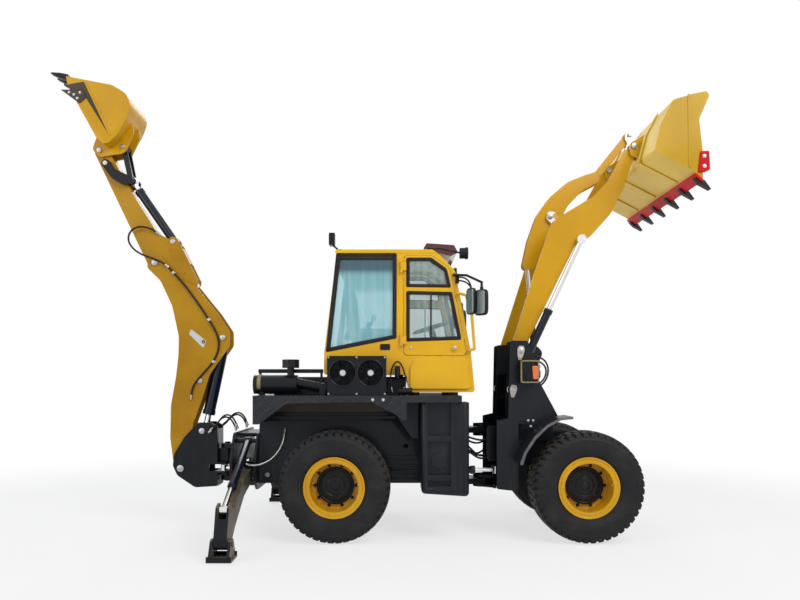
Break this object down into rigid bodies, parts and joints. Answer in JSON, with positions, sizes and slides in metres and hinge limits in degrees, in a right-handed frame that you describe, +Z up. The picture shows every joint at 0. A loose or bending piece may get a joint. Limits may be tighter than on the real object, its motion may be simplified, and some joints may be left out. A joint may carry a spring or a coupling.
{
  "type": "backhoe loader",
  "caption": "Articulated wheeled loader with a cab, a front bucket on a bent boom and a rear digging arm on a swinging post, with folding side stabilisers.",
  "frame": {"origin": "on the ground under the middle of the machine's box", "axes": "+X to the front, towards the loader bucket; +Y to the machine's left; +Z up"},
  "size_m": [6.6667, 3.36, 4.8418],
  "materials": {
    "machine_yellow": "satin",
    "chassis_dark": "satin",
    "tyre_rubber": "matt",
    "rim_gold": "satin",
    "rod_chrome": "polished",
    "cab_glass": "clear",
    "visor_maroon": "satin",
    "edge_red": "satin",
    "seat_black": "matt",
    "leg_tan": "worn"
  },
  "bodies": {
    "rear_frame": {"rear_chassis": "chassis_dark", "engine_block": "chassis_dark", "rear_axle": "chassis_dark", "deck": "chassis_dark", "step_boxes": "chassis_dark", "cab_shell": "machine_yellow", "cab_roof": "machine_yellow", "cab_glass": "cab_glass", "operator_station": "seat_black", "cab_fittings": "visor_maroon", "cooler": "chassis_dark", "air_cleaner": "chassis_dark"},
    "front_frame": {"front_frame": "chassis_dark", "front_axle": "chassis_dark", "front_fenders": "chassis_dark"},
    "loader_bucket": {"loader_bucket": "machine_yellow", "bucket_teeth": "edge_red"},
    "wheel_rear_right": {"tyre_rear_right": "tyre_rubber", "rim_rear_right": "rim_gold"},
    "wheel_rear_left": {"tyre_rear_left": "tyre_rubber", "rim_rear_left": "rim_gold"},
    "wheel_front_right": {"tyre_front_right": "tyre_rubber", "rim_front_right": "rim_gold"},
    "wheel_front_left": {"tyre_front_left": "tyre_rubber", "rim_front_left": "rim_gold"},
    "bell_crank": {"bell_crank": "machine_yellow"},
    "boom": {"boom": "machine_yellow"},
    "boom_rod": {"boom_rod": "rod_chrome"},
    "boom_tube": {"boom_tube": "chassis_dark"},
    "bucket_link": {"bucket_link": "machine_yellow"},
    "curl_rod": {"curl_rod": "rod_chrome"},
    "curl_tube": {"curl_tube": "chassis_dark"},
    "dig_bucket": {"dig_bucket": "machine_yellow"},
    "dig_link": {"dig_link": "chassis_dark"},
    "dipper_rod": {"dipper_rod": "rod_chrome"},
    "dipper_tube": {"dipper_tube": "chassis_dark"},
    "door_left": {"door_left": "machine_yellow"},
    "door_right": {"door_right": "machine_yellow"},
    "leg_left": {"leg_left": "leg_tan"},
    "leg_right": {"leg_right": "leg_tan"},
    "leg_rod_left": {"leg_rod_left": "rod_chrome"},
    "leg_rod_right": {"leg_rod_right": "rod_chrome"},
    "leg_tube_left": {"leg_tube_left": "chassis_dark"},
    "leg_tube_right": {"leg_tube_right": "chassis_dark"},
    "lift_rods": {"lift_rods": "rod_chrome"},
    "lift_tubes": {"lift_tubes": "chassis_dark"},
    "loader_arm": {"loader_arm": "machine_yellow"},
    "pad_left": {"pad_left": "chassis_dark"},
    "pad_right": {"pad_right": "chassis_dark"},
    "rocker": {"rocker": "chassis_dark"},
    "steering_rod": {"steering_rod": "rod_chrome"},
    "steering_tube": {"steering_tube": "chassis_dark"},
    "stick": {"stick": "machine_yellow"},
    "swing_post": {"swing_post": "chassis_dark"},
    "swing_rod_left": {"swing_rod_left": "rod_chrome"},
    "swing_rod_right": {"swing_rod_right": "rod_chrome"},
    "swing_tube_left": {"swing_tube_left": "chassis_dark"},
    "swing_tube_right": {"swing_tube_right": "chassis_dark"},
    "tilt_rod": {"tilt_rod": "rod_chrome"},
    "tilt_tube": {"tilt_tube": "chassis_dark"}
  },
  "joints": [
    {"name": "steering", "type": "hinge", "parent": "rear_frame", "child": "front_frame", "pos_m": [1.2507, 0, 0.545], "axis": [0, 0, 1], "range_deg": [-30, 30]},
    {"name": "wheel_rear_right_spin", "type": "hinge", "parent": "rear_frame", "child": "wheel_rear_right", "pos_m": [-0.2793, -0.76, 0.545], "axis": [0, 1, 0], "continuous": true},
    {"name": "wheel_rear_left_spin", "type": "hinge", "parent": "rear_frame", "child": "wheel_rear_left", "pos_m": [-0.2793, 0.76, 0.545], "axis": [0, 1, 0], "continuous": true},
    {"name": "wheel_front_right_spin", "type": "hinge", "parent": "front_frame", "child": "wheel_front_right", "pos_m": [2.1807, -0.76, 0.545], "axis": [0, 1, 0], "continuous": true},
    {"name": "wheel_front_left_spin", "type": "hinge", "parent": "front_frame", "child": "wheel_front_left", "pos_m": [2.1807, 0.76, 0.545], "axis": [0, 1, 0], "continuous": true},
    {"name": "steering_ram_pivot", "type": "hinge", "parent": "rear_frame", "child": "steering_tube", "pos_m": [0.6807, -0.3, 0.64], "axis": [0, 0, 1], "range_deg": [-4.61, 4.61]},
    {"name": "steering_ram_slide", "type": "slide", "parent": "steering_tube", "child": "steering_rod", "axis": [0.9983, 0.0579, 0], "range_m": [-0.13753, 0.13753]},
    {"name": "door_right_hinge", "type": "hinge", "parent": "rear_frame", "child": "door_right", "pos_m": [0.3727, -0.742, 2.35], "axis": [0, 0, -1], "range_deg": [0, 90]},
    {"name": "door_left_hinge", "type": "hinge", "parent": "rear_frame", "child": "door_left", "pos_m": [0.3727, 0.742, 2.35], "axis": [0, 0, 1], "range_deg": [0, 90]},
    {"name": "lift", "type": "hinge", "parent": "front_frame", "child": "loader_arm", "pos_m": [1.5797, 0, 1.884], "axis": [0, 1, 0], "range_deg": [0, 102]},
    {"name": "lift_rams_pivot", "type": "hinge", "parent": "front_frame", "child": "lift_tubes", "pos_m": [1.5067, 0, 1.49], "axis": [0, 1, 0], "range_deg": [0, 85.25]},
    {"name": "lift_rams_slide", "type": "slide", "parent": "lift_tubes", "child": "lift_rods", "axis": [0.42, 0, 0.9075], "range_m": [-0.48208, 0]},
    {"name": "bucket_tilt", "type": "hinge", "parent": "loader_arm", "child": "loader_bucket", "pos_m": [2.7607, 0, 3.986], "axis": [0, -1, 0], "range_deg": [0, 130]},
    {"name": "bell_crank_pivot", "type": "hinge", "parent": "loader_arm", "child": "bell_crank", "pos_m": [1.9827, 0, 3.352], "axis": [0, -1, 0], "range_deg": [-37.6, 0]},
    {"name": "bucket_link_pivot", "type": "hinge", "parent": "loader_bucket", "child": "bucket_link", "pos_m": [2.8527, 0, 4.245], "axis": [0, -1, 0], "range_deg": [-62.73, 0]},
    {"name": "tilt_ram_pivot", "type": "hinge", "parent": "front_frame", "child": "tilt_tube", "pos_m": [1.8307, 0, 1.9], "axis": [0, 1, 0], "range_deg": [0, 116.13]},
    {"name": "tilt_ram_slide", "type": "slide", "parent": "tilt_tube", "child": "tilt_rod", "axis": [-0.0861, 0, 0.9963], "range_m": [0, 0.12808]},
    {"name": "swing", "type": "hinge", "parent": "rear_frame", "child": "swing_post", "pos_m": [-1.5193, 0, 0.645], "axis": [0, 0, 1], "range_deg": [-80, 80]},
    {"name": "swing_ram_right_pivot", "type": "hinge", "parent": "rear_frame", "child": "swing_tube_right", "pos_m": [-0.8793, -0.25, 0.645], "axis": [0, 0, 1], "range_deg": [-0.78, 0.78]},
    {"name": "swing_ram_right_slide", "type": "slide", "parent": "swing_tube_right", "child": "swing_rod_right", "axis": [-0.9806, 0.1961, 0], "range_m": [-0.125, 0.125]},
    {"name": "swing_ram_left_pivot", "type": "hinge", "parent": "rear_frame", "child": "swing_tube_left", "pos_m": [-0.8793, 0.25, 0.645], "axis": [0, 0, 1], "range_deg": [-0.78, 0.78]},
    {"name": "swing_ram_left_slide", "type": "slide", "parent": "swing_tube_left", "child": "swing_rod_left", "axis": [-0.9806, -0.1961, 0], "range_m": [-0.125, 0.125]},
    {"name": "boom", "type": "hinge", "parent": "swing_post", "child": "boom", "pos_m": [-1.9943, 0, 0.638], "axis": [0, -1, 0], "range_deg": [0, 100]},
    {"name": "boom_ram_pivot", "type": "hinge", "parent": "boom", "child": "boom_tube", "pos_m": [-1.5493, 0, 2.045], "axis": [0, -1, 0], "range_deg": [0, 14.61]},
    {"name": "boom_ram_slide", "type": "slide", "parent": "boom_tube", "child": "boom_rod", "axis": [-0.2094, 0, -0.9778], "range_m": [0, 0.63477]},
    {"name": "stick", "type": "hinge", "parent": "boom", "child": "stick", "pos_m": [-2.2823, 0, 2.854], "axis": [0, -1, 0], "range_deg": [0, 110]},
    {"name": "dipper_ram_pivot", "type": "hinge", "parent": "boom", "child": "dipper_tube", "pos_m": [-1.7943, 0, 1.577], "axis": [0, -1, 0], "range_deg": [0, 4.18]},
    {"name": "dipper_ram_slide", "type": "slide", "parent": "dipper_tube", "child": "dipper_rod", "axis": [-0.0852, 0, 0.9964], "range_m": [0, 0.76982]},
    {"name": "dig_bucket_curl", "type": "hinge", "parent": "stick", "child": "dig_bucket", "pos_m": [-2.8813, 0, 4.067], "axis": [0, -1, 0], "range_deg": [0, 150]},
    {"name": "rocker_pivot", "type": "hinge", "parent": "stick", "child": "rocker", "pos_m": [-2.8073, 0, 3.92], "axis": [0, -1, 0], "range_deg": [0, 125.51]},
    {"name": "dig_link_pivot", "type": "hinge", "parent": "dig_bucket", "child": "dig_link", "pos_m": [-2.6313, 0, 4.108], "axis": [0, -1, 0], "range_deg": [-65.52, 0]},
    {"name": "curl_ram_pivot", "type": "hinge", "parent": "stick", "child": "curl_tube", "pos_m": [-2.0953, 0, 3.087], "axis": [0, -1, 0], "range_deg": [-8.4, 0]},
    {"name": "curl_ram_slide", "type": "slide", "parent": "curl_tube", "child": "curl_rod", "axis": [-0.5683, 0, 0.8228], "range_m": [0, 0.5295]},
    {"name": "stabiliser_right", "type": "hinge", "parent": "rear_frame", "child": "leg_right", "pos_m": [-1.2093, -0.56, 0.62], "axis": [-1, 0, 0], "range_deg": [-6, 45]},
    {"name": "leg_ram_right_pivot", "type": "hinge", "parent": "rear_frame", "child": "leg_tube_right", "pos_m": [-1.2093, -0.43, 0.96], "axis": [-1, 0, 0], "range_deg": [-4.92, 36.87]},
    {"name": "leg_ram_right_slide", "type": "slide", "parent": "leg_tube_right", "child": "leg_rod_right", "axis": [0, -0.8927, -0.4506], "range_m": [-0.23545, 0.03139]},
    {"name": "pad_right_hinge", "type": "hinge", "parent": "leg_right", "child": "pad_right", "pos_m": [-1.2093, -1.56, 0.15], "axis": [-1, 0, 0], "range_deg": [-30, 30]},
    {"name": "stabiliser_left", "type": "hinge", "parent": "rear_frame", "child": "leg_left", "pos_m": [-1.2093, 0.56, 0.62], "axis": [1, 0, 0], "range_deg": [-6, 45]},
    {"name": "leg_ram_left_pivot", "type": "hinge", "parent": "rear_frame", "child": "leg_tube_left", "pos_m": [-1.2093, 0.43, 0.96], "axis": [1, 0, 0], "range_deg": [-4.92, 36.87]},
    {"name": "leg_ram_left_slide", "type": "slide", "parent": "leg_tube_left", "child": "leg_rod_left", "axis": [0, 0.8927, -0.4506], "range_m": [-0.23545, 0.03139]},
    {"name": "pad_left_hinge", "type": "hinge", "parent": "leg_left", "child": "pad_left", "pos_m": [-1.2093, 1.56, 0.15], "axis": [1, 0, 0], "range_deg": [-30, 30]}
  ],
  "couplings": [
    {"joint": "steering_ram_pivot", "follows": "steering", "ratio": 0.15347},
    {"joint": "steering_ram_slide", "follows": "steering", "m_per_rad": 0.26253},
    {"joint": "lift_rams_pivot", "follows": "lift", "ratio": 0.83533},
    {"joint": "lift_rams_slide", "follows": "lift", "m_per_rad": -0.27066},
    {"joint": "bell_crank_pivot", "follows": "bucket_tilt", "ratio": -0.28908},
    {"joint": "bucket_link_pivot", "follows": "bucket_tilt", "ratio": -0.4823},
    {"joint": "tilt_ram_pivot", "follows": "lift", "ratio": 1.1379},
    {"joint": "tilt_ram_slide", "follows": "bucket_tilt", "m_per_rad": 0.05642},
    {"joint": "swing_ram_right_pivot", "follows": "swing", "ratio": -0.0098},
    {"joint": "swing_ram_right_slide", "follows": "swing", "m_per_rad": -0.08948},
    {"joint": "swing_ram_left_pivot", "follows": "swing", "ratio": -0.0098},
    {"joint": "swing_ram_left_slide", "follows": "swing", "m_per_rad": 0.08948},
    {"joint": "boom_ram_pivot", "follows": "boom", "ratio": 0.14606},
    {"joint": "boom_ram_slide", "follows": "boom", "m_per_rad": 0.36352},
    {"joint": "dipper_ram_pivot", "follows": "stick", "ratio": 0.03794},
    {"joint": "dipper_ram_slide", "follows": "stick", "m_per_rad": 0.40078},
    {"joint": "rocker_pivot", "follows": "dig_bucket_curl", "ratio": 0.83631},
    {"joint": "dig_link_pivot", "follows": "dig_bucket_curl", "ratio": -0.43661},
    {"joint": "curl_ram_pivot", "follows": "dig_bucket_curl", "ratio": -0.05599},
    {"joint": "curl_ram_slide", "follows": "dig_bucket_curl", "m_per_rad": 0.20215},
    {"joint": "leg_ram_right_pivot", "follows": "stabiliser_right", "ratio": 0.81897},
    {"joint": "leg_ram_right_slide", "follows": "stabiliser_right", "m_per_rad": -0.29963},
    {"joint": "leg_ram_left_pivot", "follows": "stabiliser_left", "ratio": 0.81897},
    {"joint": "leg_ram_left_slide", "follows": "stabiliser_left", "m_per_rad": -0.29963}
  ]
}
